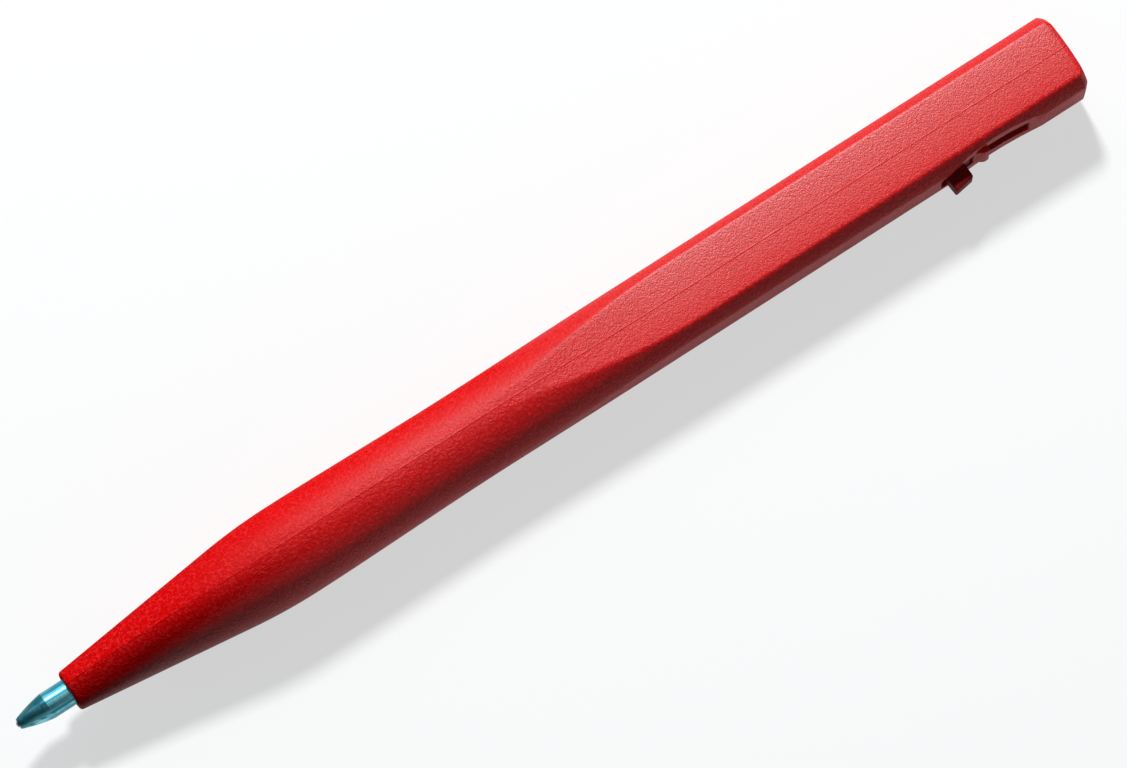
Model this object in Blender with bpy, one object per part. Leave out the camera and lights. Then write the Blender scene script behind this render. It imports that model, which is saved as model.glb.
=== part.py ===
"""Retractable ballpoint pen with a side trigger and a one-piece moulded barrel.

The pen lies along X with its writing point towards -X and its trigger on -Y, resting with a wide flat down.
The origin is at the middle of the pen's box, on the surface that it lies on.
Distances called "from the nose" run along the pen from the flat nose face towards the rear end.
The pen is modelled with its point out, and the trigger then stands in the front part of its window.
"""
import math

import bmesh
import bpy
from mathutils import Vector

MM = 0.001

# Barrel, outside
BODY_LENGTH = 129.6 * MM
NOSE_RADIUS = 2.36 * MM
NOSE_ROUND = 0.4 * MM
GRIP_RADIUS = 5.36 * MM
KNEE_FROM_NOSE = 24.5 * MM
KNEE_BLEND = 4.0 * MM
WAIST_RADIUS = 5.06 * MM
WAIST_FROM_NOSE = 52.0 * MM
REAR_RADIUS = 5.27 * MM
ACROSS_WIDE_FLATS = 7.8 * MM
ACROSS_NARROW_FLATS = 9.66 * MM
FLATS_BEGIN = 54.0 * MM
FLATS_FULL = 79.7 * MM
END_DOME = 0.3 * MM
END_ROUND = 0.6 * MM

# Barrel, inside
WALL = 1.2 * MM
SPRING_SEAT_FROM_NOSE = 11.0 * MM
BORE_WIDENS_OVER = 8.0 * MM
CHAMBER_LEAD = 2.5 * MM

# Refill
POINT_OUT = 6.7 * MM
POINT_INSET = 0.5 * MM
TUBE_RADIUS = 1.55 * MM
TUBE_WALL = 0.4 * MM
BALL_RADIUS = 0.5 * MM
BALL_SHOWS = 0.25 * MM
BALL_PLAY = 0.06 * MM
POINT_LIP = 0.12 * MM
CONE_LENGTH = 3.6 * MM
POINT_BODY_LENGTH = 7.0 * MM
SPIGOT_LENGTH = 3.0 * MM
INK_CHANNEL_RADIUS = 0.3 * MM
INK_LENGTH = 62.0 * MM
COLLAR_FROM_NOSE = 28.0 * MM
COLLAR_LENGTH = 1.2 * MM

# Return spring
SPRING_WIRE = 0.4 * MM
SPRING_PITCH = 2.0 * MM

# Trigger, its window and the thumb scoop round it
BRIDGE_FROM_REAR = 15.2 * MM
BRIDGE_RAMP = 1.2 * MM
BRIDGE_BEARING = 0.5 * MM
SLOT_WIDTH = 2.8 * MM
SLOT_CORNER = 0.4 * MM
SLOT_LEAD = 0.5 * MM
SCOOP_RADIUS = 32.3 * MM
SCOOP_DEPTH = 0.65 * MM
SCOOP_FROM_REAR = 12.5 * MM
BUTTON_LENGTH = 2.75 * MM
BUTTON_DRAFT = 0.3 * MM
BUTTON_RISE_FRONT = 1.68 * MM
BUTTON_RISE_REAR = 1.28 * MM
BUTTON_ROUND = 0.15 * MM
HEEL_LENGTH = 0.95 * MM
HEEL_CATCH = 0.55 * MM
RETRACTED_GAP = 1.4 * MM
ARM_REACH = 18.5 * MM
ARM_THICKNESS = 0.9 * MM
ARM_LIP = 0.3 * MM
HEAD_LENGTH = 1.25 * MM
HEAD_THICKNESS = 1.1 * MM
PIVOT_OFFSET = 1.2 * MM
KNUCKLE_RADIUS = 0.9 * MM
KNUCKLE_GRIP = 0.1 * MM

# Carriage
CARRIAGE_LENGTH = 16.0 * MM
CARRIAGE_BEHIND_PIVOT = 2.0 * MM
FRONT_LAND = 2.5 * MM
REAR_LAND = 7.0 * MM
SOCKET_DEPTH = 9.5 * MM
VENT_RADIUS = 0.5 * MM

# End plug
PLUG_LENGTH = 3.8 * MM
PLUG_FLOOR = 1.4 * MM

# Clearances
SLIDE_CLEARANCE = 0.3 * MM
FIT_CLEARANCE = 0.2 * MM
STOP_CLEARANCE = 0.3 * MM

# Facets
NARROW_STEPS = 2
WIDE_STEPS = 4
ARC_STEPS = 9
TURNED_STEPS = 32
CURVE_STEPS = 6
FLATS_STEPS = 14
SPRING_STEPS_PER_TURN = 10
LEAST_FLAT_ANGLE = math.radians(5.0)
LEAST_RING_GAP = 0.2 * MM
CORNER_SHARE = 0.99
SHARP_ANGLE = math.radians(28.0)
CUT_BEYOND = 2.0 * MM

# Places along the pen, from the nose
TRAVEL = POINT_OUT + POINT_INSET
BRIDGE_LENGTH = TRAVEL - BUTTON_LENGTH - HEEL_LENGTH - STOP_CLEARANCE - RETRACTED_GAP
BRIDGE_FRONT = BODY_LENGTH - BRIDGE_FROM_REAR
HEEL_END = BRIDGE_FRONT - STOP_CLEARANCE
BUTTON_REAR = HEEL_END - HEEL_LENGTH
BUTTON_FRONT = BUTTON_REAR - BUTTON_LENGTH
SLOT_FRONT = BUTTON_FRONT - SLOT_LEAD
SLOT_REAR = HEEL_END + TRAVEL + STOP_CLEARANCE
PIVOT = BUTTON_FRONT - ARM_REACH
CARRIAGE_REAR = PIVOT + CARRIAGE_BEHIND_PIVOT
CARRIAGE_FRONT = CARRIAGE_REAR - CARRIAGE_LENGTH
CHAMBER_FRONT = CARRIAGE_FRONT - STOP_CLEARANCE
SOCKET_END = CARRIAGE_FRONT + SOCKET_DEPTH
TUBE_END = SOCKET_END - STOP_CLEARANCE
POINT_SHOULDER = BALL_SHOWS - POINT_OUT + CONE_LENGTH + POINT_BODY_LENGTH
TUBE_FRONT = POINT_SHOULDER + STOP_CLEARANCE

# Half sizes across the pen
HALF_WIDE = ACROSS_WIDE_FLATS / 2
HALF_NARROW = ACROSS_NARROW_FLATS / 2
CHAMBER_RADIUS = REAR_RADIUS - WALL
CHAMBER_WIDE = HALF_WIDE - WALL
CHAMBER_NARROW = HALF_NARROW - WALL
BORE_RADIUS = CHAMBER_WIDE
NOSE_HOLE_RADIUS = TUBE_RADIUS + FIT_CLEARANCE
SPRING_RADIUS = TUBE_RADIUS + SLIDE_CLEARANCE + SPRING_WIRE / 2
SEAT_BORE_RADIUS = SPRING_RADIUS + SPRING_WIRE / 2 + FIT_CLEARANCE
COLLAR_RADIUS = SPRING_RADIUS + SPRING_WIRE / 2
SLOT_HALF = SLOT_WIDTH / 2
BUTTON_HALF = SLOT_HALF - SLIDE_CLEARANCE
ARM_HALF = SLOT_HALF + ARM_LIP
BRIDGE_HALF = SLOT_HALF + BRIDGE_BEARING

# The pen's axis in the frame of the part
TRIGGER_REACH = HALF_NARROW + BUTTON_RISE_FRONT
AXIS_Y = (TRIGGER_REACH - GRIP_RADIUS) / 2
AXIS_Z = GRIP_RADIUS
MIDDLE = (BODY_LENGTH - POINT_OUT) / 2


def along(distance):
    """X of a point at this distance from the nose face."""
    return distance - MIDDLE


def clear_scene():
    for old in list(bpy.data.objects):
        bpy.data.objects.remove(old, do_unlink=True)


def plastic_or_metal(name, colour, roughness, metallic=0.0):
    material = bpy.data.materials.new(name)
    material.use_nodes = True
    shader = material.node_tree.nodes["Principled BSDF"]
    shader.inputs["Base Color"].default_value = (*colour, 1.0)
    shader.inputs["Roughness"].default_value = roughness
    shader.inputs["Metallic"].default_value = metallic
    return material


def add_object(name, data, parent, material=None, location=(0.0, 0.0, 0.0)):
    """Put one object in the scene. Without a material it is a helper that isn't part of the pen."""
    thing = bpy.data.objects.new(name, data)
    thing.location = location
    thing.parent = parent
    bpy.context.scene.collection.objects.link(thing)
    if material:
        data.materials.append(material)
    else:
        thing.hide_render = True
        thing.display_type = "WIRE"
    return thing


def mesh_from(name, bm):
    """Turn an edited mesh into data with outward faces, smooth except over sharp edges."""
    bmesh.ops.recalc_face_normals(bm, faces=bm.faces)
    mesh = bpy.data.meshes.new(name)
    bm.to_mesh(mesh)
    bm.free()
    mesh.shade_smooth()
    mesh.set_sharp_from_angle(angle=SHARP_ANGLE)
    return mesh


def skin(name, rings, looped=False):
    """Cover rings of equally many points. A looped skin closes on its first ring, others get end faces."""
    bm = bmesh.new()
    loops = [[bm.verts.new(point) for point in ring] for ring in rings]
    pairs = list(zip(loops, loops[1:]))
    if looped:
        pairs.append((loops[-1], loops[0]))
    else:
        bm.faces.new(loops[0])
        bm.faces.new(loops[-1])
    for first, second in pairs:
        count = len(first)
        for i in range(count):
            j = (i + 1) % count
            bm.faces.new((first[i], first[j], second[j], second[i]))
    return mesh_from(name, bm)


def prism(name, outline, half_width, bevel=0.0):
    """A side outline of (x, y) points, made solid from -half_width to half_width in Z."""
    bm = bmesh.new()
    low = [bm.verts.new((x, y, -half_width)) for x, y in outline]
    high = [bm.verts.new((x, y, half_width)) for x, y in outline]
    bm.faces.new(low)
    bm.faces.new(high)
    for i in range(len(outline)):
        j = (i + 1) % len(outline)
        bm.faces.new((low[i], low[j], high[j], high[i]))
    bmesh.ops.recalc_face_normals(bm, faces=bm.faces)
    if bevel:
        bmesh.ops.bevel(bm, geom=bm.edges[:], offset=bevel, segments=2, profile=0.5, affect="EDGES")
    return mesh_from(name, bm)


def circle(distance, radius):
    """One ring of a turned piece about the pen's axis."""
    turn = 2 * math.pi / TURNED_STEPS
    x = along(distance)
    return [(x, radius * math.cos(i * turn), radius * math.sin(i * turn)) for i in range(TURNED_STEPS)]


def turned(name, profile, looped=False):
    """A turned piece from (distance, radius) pairs. A looped profile goes back along the bore."""
    return skin(name, [circle(distance, radius) for distance, radius in profile], looped)


def boolean(target, cutter, operation):
    change = target.modifiers.new(cutter.name, "BOOLEAN")
    change.operation = operation
    change.object = cutter


def ease(value, low, high):
    """From 0 at low to 1 at high, level at both ends."""
    share = min(1.0, max(0.0, (value - low) / (high - low)))
    return share * share * (3 - 2 * share)


def outer_radius(distance):
    """Radius of the barrel before its flats: taper, rounded knee, waist, then the rear bar."""
    slope = (GRIP_RADIUS - NOSE_RADIUS) / KNEE_FROM_NOSE
    knee_end = KNEE_FROM_NOSE + KNEE_BLEND
    if distance <= KNEE_FROM_NOSE - KNEE_BLEND:
        return NOSE_RADIUS + slope * distance
    if distance <= knee_end:
        return GRIP_RADIUS - slope * (knee_end - distance) ** 2 / (4 * KNEE_BLEND)
    if distance <= WAIST_FROM_NOSE:
        return GRIP_RADIUS + (WAIST_RADIUS - GRIP_RADIUS) * ease(distance, knee_end, WAIST_FROM_NOSE)
    return WAIST_RADIUS + (REAR_RADIUS - WAIST_RADIUS) * ease(distance, WAIST_FROM_NOSE, FLATS_FULL)


def section_angles(narrow_angle, wide_angle):
    """Angles round a section, from the middle of its +Y flat, with points on every edge of a flat."""
    quarter = math.pi / 2
    stretches = []
    for turn in range(2):
        flat_y = turn * 2 * quarter
        flat_z = flat_y + quarter
        next_y = flat_z + quarter
        stretches.append((flat_y - narrow_angle, flat_y + narrow_angle, NARROW_STEPS))
        stretches.append((flat_y + narrow_angle, flat_z - wide_angle, ARC_STEPS))
        stretches.append((flat_z - wide_angle, flat_z + wide_angle, WIDE_STEPS))
        stretches.append((flat_z + wide_angle, next_y - narrow_angle, ARC_STEPS))
    return [low + (high - low) * i / steps for low, high, steps in stretches for i in range(steps)]


def section(distance, radius, half_narrow, half_wide, dome=0.0):
    """Ring of a round bar with flats facing Y and Z. A domed ring bulges to the rear at its middle."""
    radius = min(radius, CORNER_SHARE * math.hypot(half_narrow, half_wide))
    narrow_angle = max(LEAST_FLAT_ANGLE, math.acos(min(1.0, half_narrow / radius)))
    wide_angle = max(LEAST_FLAT_ANGLE, math.acos(min(1.0, half_wide / radius)))
    points = []
    for angle in section_angles(narrow_angle, wide_angle):
        across_y = math.cos(angle)
        across_z = math.sin(angle)
        reach = radius
        if abs(across_y) * reach > half_narrow:
            reach = half_narrow / abs(across_y)
        if abs(across_z) * reach > half_wide:
            reach = half_wide / abs(across_z)
        sunk = dome * (reach / REAR_RADIUS) ** 2
        points.append((along(distance) - sunk, reach * across_y, reach * across_z))
    return points


def round_section(distance, radius):
    return section(distance, radius, radius, radius)


def barrel_section(distance, inset=0.0, dome=0.0):
    """Outside of the barrel, where the flats run in as a long arch from the round middle."""
    radius = outer_radius(distance)
    share = ease(distance, FLATS_BEGIN, FLATS_FULL)
    start = outer_radius(FLATS_BEGIN)
    half_narrow = radius
    half_wide = radius
    if share > 0:
        half_narrow = start + (HALF_NARROW - start) * share
        half_wide = start + (HALF_WIDE - start) * share
    return section(distance, radius - inset, half_narrow - inset, half_wide - inset, dome)


def chamber_section(distance, inset=0.0, dome=0.0):
    """Inside of the rear half, a bore with flats that follow the outside at one wall's thickness."""
    return section(distance, CHAMBER_RADIUS - inset, CHAMBER_NARROW - inset, CHAMBER_WIDE - inset, dome)


def spread(low, high, steps):
    return [low + (high - low) * i / steps for i in range(steps + 1)]


def outer_stations():
    """Distances of the rings on the barrel's outside, closest where its outline bends."""
    knee_start = KNEE_FROM_NOSE - KNEE_BLEND
    knee_end = KNEE_FROM_NOSE + KNEE_BLEND
    places = [NOSE_ROUND]
    places += spread(knee_start, knee_end, CURVE_STEPS)
    places += spread(knee_end, WAIST_FROM_NOSE, CURVE_STEPS)
    places += spread(FLATS_BEGIN, FLATS_FULL, FLATS_STEPS)
    kept = []
    for place in sorted(places):
        if not kept or place - kept[-1] > LEAST_RING_GAP:
            kept.append(place)
    return kept


def quarter_round(radius, steps=3):
    """Pairs (inset, advance) round a corner, from its side to its end face."""
    angles = spread(0.0, math.pi / 2, steps)
    return [(radius * (1 - math.cos(angle)), radius * math.sin(angle)) for angle in angles]


def barrel_mesh():
    """One closed skin: nose face, outside to the rear end, then back along the bore."""
    rings = []
    for inset, advance in reversed(quarter_round(NOSE_ROUND)[1:]):
        rings.append(round_section(NOSE_ROUND - advance, outer_radius(NOSE_ROUND) - inset))
    for place in outer_stations():
        rings.append(barrel_section(place))
    for inset, advance in quarter_round(END_ROUND):
        rings.append(barrel_section(BODY_LENGTH - END_ROUND + advance, inset, END_DOME))
    rings.append(chamber_section(BODY_LENGTH, 0.0, END_DOME))
    rings.append(chamber_section(BODY_LENGTH - PLUG_LENGTH))
    rings.append(chamber_section(CHAMBER_FRONT))
    rings.append(round_section(CHAMBER_FRONT - CHAMBER_LEAD, BORE_RADIUS))
    rings.append(round_section(SPRING_SEAT_FROM_NOSE + BORE_WIDENS_OVER, BORE_RADIUS))
    rings.append(round_section(SPRING_SEAT_FROM_NOSE, SEAT_BORE_RADIUS))
    rings.append(round_section(SPRING_SEAT_FROM_NOSE, NOSE_HOLE_RADIUS))
    rings.append(round_section(0.0, NOSE_HOLE_RADIUS))
    return skin("barrel", rings, looped=True)


def scoop_mesh():
    """The thumb scoop's cutter: a wide drum lying across the pen below its trigger side."""
    steps = TURNED_STEPS
    middle_x = along(BODY_LENGTH - SCOOP_FROM_REAR)
    middle_y = SCOOP_DEPTH - HALF_NARROW - SCOOP_RADIUS
    half_angle = math.acos(1 - (SCOOP_DEPTH + CUT_BEYOND) / SCOOP_RADIUS)
    outline = []
    for angle in spread(-half_angle, half_angle, steps):
        outline.append((middle_x + SCOOP_RADIUS * math.sin(angle), middle_y + SCOOP_RADIUS * math.cos(angle)))
    return prism("scoop", outline, REAR_RADIUS + CUT_BEYOND)


def slot_mesh():
    """The window's cutter, with rounded corners, from outside the wall into the chamber."""
    bm = bmesh.new()
    bmesh.ops.create_cube(bm, size=1.0)
    length = SLOT_REAR - SLOT_FRONT
    outer = -(HALF_NARROW + CUT_BEYOND)
    inner = -CHAMBER_NARROW / 2
    depth = inner - outer
    for vert in bm.verts:
        vert.co.x = vert.co.x * length + along((SLOT_FRONT + SLOT_REAR) / 2)
        vert.co.y = vert.co.y * depth + (outer + inner) / 2
        vert.co.z = vert.co.z * SLOT_WIDTH
    upright = [edge for edge in bm.edges if abs(edge.verts[0].co.y - edge.verts[1].co.y) > depth / 2]
    bmesh.ops.bevel(bm, geom=upright, offset=SLOT_CORNER, segments=3, profile=0.5, affect="EDGES")
    return mesh_from("slot", bm)


def bridge_mesh():
    """The bridge across the window that the button is caught by, with a ramp on its front."""
    inner = -CHAMBER_NARROW
    outer = -HALF_NARROW
    low = -(HALF_NARROW - SCOOP_DEPTH)
    front = along(BRIDGE_FRONT)
    rear = along(BRIDGE_FRONT + BRIDGE_LENGTH)
    outline = [(front, inner), (rear, inner), (rear, outer), (front + BRIDGE_RAMP, outer), (front, low)]
    return prism("bridge", outline, BRIDGE_HALF)


def make_barrel(axis, material):
    barrel = add_object("barrel", barrel_mesh(), axis, material)
    boolean(barrel, add_object("scoop_cutter", scoop_mesh(), axis), "DIFFERENCE")
    boolean(barrel, add_object("slot_cutter", slot_mesh(), axis), "DIFFERENCE")
    boolean(barrel, add_object("bridge_block", bridge_mesh(), axis), "UNION")
    return barrel


def make_end_plug(axis, material):
    """A cup that fills the rear hole, open inwards, with an end that carries on the barrel's dome."""
    inset = FIT_CLEARANCE
    inner = BODY_LENGTH - PLUG_LENGTH
    floor = BODY_LENGTH - PLUG_FLOOR
    pocket = WALL + FIT_CLEARANCE
    rings = [chamber_section(floor, pocket)]
    rings.append(chamber_section(inner, pocket))
    rings.append(chamber_section(inner, inset))
    for step in range(CURVE_STEPS):
        size = 1 - step / CURVE_STEPS
        rings.append(section(BODY_LENGTH, (CHAMBER_RADIUS - inset) * size, (CHAMBER_NARROW - inset) * size,
                             (CHAMBER_WIDE - inset) * size, END_DOME))
    return add_object("end_plug", skin("end_plug", rings), axis, material)


def make_carriage(axis, material):
    """Slider with two lands that fit the chamber, a socket for the refill and the trigger's pivot groove."""
    neck = CHAMBER_WIDE - SLIDE_CLEARANCE
    front_land_end = CARRIAGE_FRONT + FRONT_LAND
    rear_land_start = CARRIAGE_REAR - REAR_LAND
    rings = [
        chamber_section(CARRIAGE_FRONT, SLIDE_CLEARANCE),
        chamber_section(front_land_end, SLIDE_CLEARANCE),
        round_section(front_land_end, neck),
        round_section(rear_land_start, neck),
        chamber_section(rear_land_start, SLIDE_CLEARANCE),
        chamber_section(CARRIAGE_REAR, SLIDE_CLEARANCE),
    ]
    carriage = add_object("carriage", skin("carriage", rings), axis, material)

    socket_radius = TUBE_RADIUS + FIT_CLEARANCE
    vent_end = CARRIAGE_REAR + CUT_BEYOND
    socket_profile = [
        (CARRIAGE_FRONT - CUT_BEYOND, socket_radius),
        (SOCKET_END, socket_radius),
        (SOCKET_END, VENT_RADIUS),
        (vent_end, VENT_RADIUS),
    ]
    boolean(carriage, add_object("socket_cutter", turned("socket", socket_profile), axis), "DIFFERENCE")

    groove_radius = KNUCKLE_RADIUS + FIT_CLEARANCE
    mouth_half = KNUCKLE_RADIUS - KNUCKLE_GRIP
    half_length = CHAMBER_WIDE + CUT_BEYOND
    groove = add_object("groove_cutter", pin_mesh("groove", groove_radius, half_length), axis)
    groove.location = (along(PIVOT), -PIVOT_OFFSET, 0.0)
    boolean(carriage, groove, "DIFFERENCE")
    rear = CARRIAGE_BEHIND_PIVOT + CUT_BEYOND
    mouth_outline = [(0.0, -mouth_half), (rear, -mouth_half), (rear, mouth_half), (0.0, mouth_half)]
    mouth = add_object("mouth_cutter", prism("mouth", mouth_outline, half_length), axis)
    mouth.location = groove.location
    boolean(carriage, mouth, "DIFFERENCE")
    return carriage


def pin_mesh(name, radius, half_length):
    """A round pin along Z about its own origin."""
    turn = 2 * math.pi / TURNED_STEPS
    corners = [(radius * math.cos(i * turn), radius * math.sin(i * turn)) for i in range(TURNED_STEPS)]
    return prism(name, corners, half_length)


def make_trigger(carriage_pivot, material):
    """Spring arm on a knuckle, with a head inside the barrel and the button that stands out of the window.

    Its own origin is on the pivot. The head is wider than the window, so that it can't come out.
    """
    half_root = ARM_THICKNESS / 2
    head_start = ARM_REACH - HEAD_LENGTH
    heel_end = ARM_REACH + BUTTON_LENGTH + HEEL_LENGTH
    button_rear = ARM_REACH + BUTTON_LENGTH
    head_outer = PIVOT_OFFSET - CHAMBER_NARROW + SLIDE_CLEARANCE
    head_inner = head_outer + HEAD_THICKNESS
    arm_outline = [
        (0.0, half_root),
        (head_start, head_inner),
        (heel_end, head_inner),
        (heel_end, head_outer),
        (head_start, head_outer),
        (0.0, -half_root),
    ]
    trigger = add_object("trigger", prism("trigger", arm_outline, ARM_HALF), carriage_pivot, material)

    root = head_outer + HEAD_THICKNESS / 2
    crown_front = PIVOT_OFFSET - HALF_NARROW - BUTTON_RISE_FRONT
    crown_rear = PIVOT_OFFSET - HALF_NARROW - BUTTON_RISE_REAR
    heel_top = PIVOT_OFFSET - CHAMBER_NARROW - HEEL_CATCH
    button_outline = [
        (ARM_REACH, root),
        (ARM_REACH + BUTTON_DRAFT, crown_front),
        (button_rear, crown_rear),
        (button_rear, heel_top),
        (heel_end, heel_top),
        (heel_end, root),
    ]
    button = prism("button", button_outline, BUTTON_HALF, BUTTON_ROUND)
    knuckle = pin_mesh("knuckle", KNUCKLE_RADIUS, CHAMBER_WIDE - SLIDE_CLEARANCE)
    boolean(trigger, add_object("button_block", button, carriage_pivot), "UNION")
    boolean(trigger, add_object("knuckle_pin", knuckle, carriage_pivot), "UNION")
    return trigger


def make_refill_point(axis, material):
    """Metal point: cone and cylinder outside, ball socket and ink channel inside, spigot at the rear."""
    tip = BALL_SHOWS - POINT_OUT
    socket_radius = BALL_RADIUS + BALL_PLAY
    ball_middle = BALL_RADIUS - POINT_OUT
    mouth = math.sqrt(BALL_RADIUS ** 2 - (BALL_RADIUS - BALL_SHOWS) ** 2) + BALL_PLAY
    seat = ball_middle + BALL_RADIUS
    spigot_radius = TUBE_RADIUS - TUBE_WALL - FIT_CLEARANCE
    spigot_end = POINT_SHOULDER + SPIGOT_LENGTH
    profile = [
        (tip, mouth + POINT_LIP),
        (tip + CONE_LENGTH, TUBE_RADIUS),
        (POINT_SHOULDER, TUBE_RADIUS),
        (POINT_SHOULDER, spigot_radius),
        (spigot_end, spigot_radius),
        (spigot_end, INK_CHANNEL_RADIUS),
        (seat, INK_CHANNEL_RADIUS),
        (seat, socket_radius),
        (ball_middle, socket_radius),
        (tip, mouth),
    ]
    return add_object("refill_point", turned("refill_point", profile, looped=True), axis, material)


def make_ball(axis, material):
    bm = bmesh.new()
    bmesh.ops.create_uvsphere(bm, u_segments=16, v_segments=10, radius=BALL_RADIUS)
    return add_object("point_ball", mesh_from("point_ball", bm), axis, material,
                      (along(BALL_RADIUS - POINT_OUT), 0.0, 0.0))


def make_refill_tube(axis, material):
    """Ink tube, open at both ends, with the collar that the return spring pushes on."""
    bore = TUBE_RADIUS - TUBE_WALL
    collar_end = COLLAR_FROM_NOSE + COLLAR_LENGTH
    profile = [
        (TUBE_FRONT, TUBE_RADIUS),
        (COLLAR_FROM_NOSE, TUBE_RADIUS),
        (COLLAR_FROM_NOSE, COLLAR_RADIUS),
        (collar_end, COLLAR_RADIUS),
        (collar_end, TUBE_RADIUS),
        (TUBE_END, TUBE_RADIUS),
        (TUBE_END, bore),
        (TUBE_FRONT, bore),
    ]
    return add_object("refill_tube", turned("refill_tube", profile, looped=True), axis, material)


def make_ink(axis, material):
    start = POINT_SHOULDER + SPIGOT_LENGTH + STOP_CLEARANCE
    radius = TUBE_RADIUS - TUBE_WALL - FIT_CLEARANCE
    return add_object("ink", turned("ink", [(start, radius), (start + INK_LENGTH, radius)]), axis, material)


def spring_points():
    """Centre line of the return spring, one unbroken helix between its seat and the refill's collar."""
    end_gap = SPRING_WIRE / 2 + STOP_CLEARANCE
    start = SPRING_SEAT_FROM_NOSE + end_gap
    length = COLLAR_FROM_NOSE - end_gap - start
    turns = max(2, round(length / SPRING_PITCH))
    count = turns * SPRING_STEPS_PER_TURN
    points = []
    for i in range(count + 1):
        angle = 2 * math.pi * i / SPRING_STEPS_PER_TURN
        distance = start + length * i / count
        points.append(Vector((along(distance), SPRING_RADIUS * math.cos(angle), SPRING_RADIUS * math.sin(angle))))
    return points


def least_gap(points):
    """Clear space between one turn of the wire and any other, measured on the helix's points."""
    near_turn = SPRING_STEPS_PER_TURN // 2
    gaps = []
    for i, point in enumerate(points):
        for other in points[i + near_turn:]:
            gaps.append((point - other).length - SPRING_WIRE)
    return min(gaps)


def make_spring(axis, material):
    points = spring_points()
    curve = bpy.data.curves.new("return_spring", "CURVE")
    curve.dimensions = "3D"
    curve.bevel_depth = SPRING_WIRE / 2
    curve.bevel_resolution = 1
    curve.use_fill_caps = True
    spline = curve.splines.new("POLY")
    spline.points.add(len(points) - 1)
    for knot, point in zip(spline.points, points):
        knot.co = (*point, 1.0)
    print("least gap between the spring's turns, mm:", round(least_gap(points) / MM, 3))
    return add_object("return_spring", curve, axis, material)


def main():
    clear_scene()
    axis = add_object("pen_axis", None, None, None, (0.0, AXIS_Y, AXIS_Z))
    pivot = add_object("trigger_pivot", None, axis, None, (along(PIVOT), -PIVOT_OFFSET, 0.0))

    red = (0.72, 0.012, 0.016)
    steel = (0.50, 0.53, 0.54)
    make_barrel(axis, plastic_or_metal("barrel_red", red, 0.42))
    make_end_plug(axis, plastic_or_metal("plug_red", red, 0.42))
    make_trigger(pivot, plastic_or_metal("trigger_red", red, 0.40))
    make_carriage(axis, plastic_or_metal("carriage_red", red, 0.45))
    make_spring(axis, plastic_or_metal("spring_steel", steel, 0.30, 1.0))
    make_refill_tube(axis, plastic_or_metal("tube_white", (0.80, 0.80, 0.76), 0.35))
    make_ink(axis, plastic_or_metal("ink_blue", (0.01, 0.03, 0.25), 0.30))
    make_refill_point(axis, plastic_or_metal("point_metal", (0.45, 0.52, 0.53), 0.22, 1.0))
    make_ball(axis, plastic_or_metal("ball_carbide", (0.30, 0.31, 0.32), 0.12, 1.0))


main()
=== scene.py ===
"""Looks of a retractable ballpoint pen with a side trigger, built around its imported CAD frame.

The pen lies along X with its writing point towards -X and its trigger on -Y.
Distances called "from the nose" run along the pen from the flat nose face towards the rear end.
"""
import math

import bmesh
import bpy
from mathutils import Matrix, Vector


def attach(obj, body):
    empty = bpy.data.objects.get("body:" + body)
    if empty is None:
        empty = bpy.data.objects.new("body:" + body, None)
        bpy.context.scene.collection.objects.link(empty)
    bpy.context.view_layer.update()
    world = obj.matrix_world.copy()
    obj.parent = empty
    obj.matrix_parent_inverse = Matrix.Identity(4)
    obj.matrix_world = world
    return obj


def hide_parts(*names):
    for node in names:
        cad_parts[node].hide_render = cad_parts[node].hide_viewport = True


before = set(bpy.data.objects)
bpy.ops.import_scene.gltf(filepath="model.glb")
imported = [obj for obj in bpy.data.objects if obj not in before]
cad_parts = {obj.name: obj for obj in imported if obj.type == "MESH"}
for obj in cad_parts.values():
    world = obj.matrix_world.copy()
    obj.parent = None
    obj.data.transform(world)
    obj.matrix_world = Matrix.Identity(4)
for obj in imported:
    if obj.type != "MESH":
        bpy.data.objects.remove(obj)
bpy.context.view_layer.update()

MM = 0.001
TINY = 1e-6
FULL_TURN = 2 * math.pi
QUARTER_TURN = math.pi / 2

# Sizes of the CAD model that the finer pieces follow
BODY_LENGTH = 129.6 * MM
POINT_OUT = 6.7 * MM
MIDDLE = (BODY_LENGTH - POINT_OUT) / 2
AXIS = Vector((0.0, 0.575 * MM, 5.36 * MM))
NOSE_RADIUS = 2.36 * MM
NOSE_ROUND = 0.4 * MM
NOSE_HOLE_RADIUS = 1.75 * MM
GRIP_RADIUS = 5.36 * MM
KNEE_FROM_NOSE = 24.5 * MM
KNEE_BLEND = 4.0 * MM
WAIST_RADIUS = 5.06 * MM
WAIST_FROM_NOSE = 52.0 * MM
REAR_RADIUS = 5.27 * MM
HALF_WIDE = 3.9 * MM
HALF_NARROW = 4.83 * MM
FLATS_BEGIN = 54.0 * MM
FLATS_FULL = 79.7 * MM
END_DOME = 0.3 * MM
END_ROUND = 0.6 * MM
WALL = 1.2 * MM
SPRING_SEAT = 11.0 * MM
SEAT_BORE_RADIUS = 2.45 * MM
BORE_RADIUS = HALF_WIDE - WALL
BORE_FULL = 19.0 * MM
CHAMBER_FRONT = 77.6 * MM
CHAMBER_LEAD = 2.5 * MM
CHAMBER = (REAR_RADIUS - WALL, HALF_NARROW - WALL, HALF_WIDE - WALL)
PLUG_LENGTH = 3.8 * MM
PLUG_FLOOR = 1.4 * MM
FIT_CLEARANCE = 0.2 * MM
SLIDE_CLEARANCE = 0.3 * MM
SLOT_FRONT = 109.9 * MM
SLOT_REAR = 121.6 * MM
SLOT_HALF = 1.4 * MM
SLOT_CORNER = 0.4 * MM
BRIDGE_FRONT = 114.4 * MM
BRIDGE_LENGTH = 1.8 * MM
BRIDGE_RAMP = 1.2 * MM
BRIDGE_HALF = 1.9 * MM
SCOOP_RADIUS = 32.3 * MM
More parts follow.
